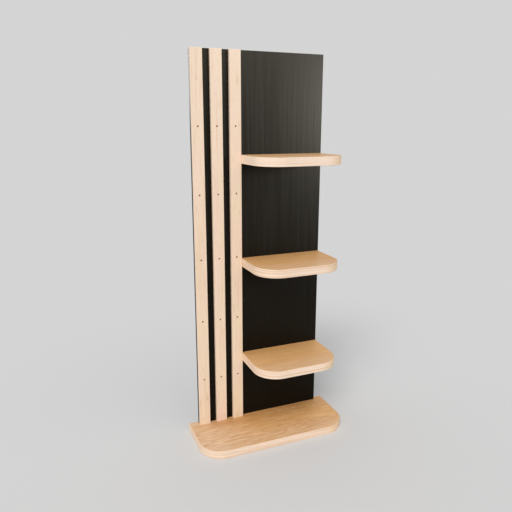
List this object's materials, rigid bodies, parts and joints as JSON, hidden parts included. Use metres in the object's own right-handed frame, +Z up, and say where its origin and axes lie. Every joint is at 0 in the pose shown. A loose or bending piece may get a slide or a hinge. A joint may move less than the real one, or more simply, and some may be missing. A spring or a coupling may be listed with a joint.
{
  "type": "bookshelf",
  "caption": "Tall open bookshelf: a dark upright back panel on a rounded base board, with pale upright slats on its left and shelves with rounded front corners standing out on its right.",
  "frame": {"origin": "on the floor, under the middle of the base board's outline", "axes": "+X to the right seen from the front, -Y towards the front where the shelves stand out, +Z up"},
  "size_m": [0.755, 0.296, 1.84],
  "materials": {
    "pale_wood": "pale straight-grained wood, satin",
    "tan_veneer": "tan wood veneer, satin",
    "black_stained_wood": "black-stained open grain, satin",
    "brown_screw": "brown lacquered steel",
    "black_screw": "black lacquered steel",
    "dowel_wood": "plain turned hardwood"
  },
  "bodies": {
    "root": {"base_board": "tan_veneer", "bottom_shelf": "tan_veneer", "middle_shelf": "tan_veneer", "top_shelf": "tan_veneer", "base_edge_band": "pale_wood", "base_back_band": "pale_wood", "bottom_shelf_edge_band": "pale_wood", "middle_shelf_edge_band": "pale_wood", "top_shelf_edge_band": "pale_wood", "left_slat": "pale_wood", "middle_slat": "pale_wood", "right_slat": "pale_wood", "back_panel": "black_stained_wood", "left_slat_screws": "brown_screw", "middle_slat_screws": "brown_screw", "right_slat_screws": "brown_screw", "bottom_shelf_screws": "black_screw", "middle_shelf_screws": "black_screw", "top_shelf_screws": "black_screw", "base_screws": "black_screw", "bottom_shelf_dowels": "dowel_wood", "middle_shelf_dowels": "dowel_wood", "top_shelf_dowels": "dowel_wood", "base_dowels": "dowel_wood"}
  },
  "joints": []
}
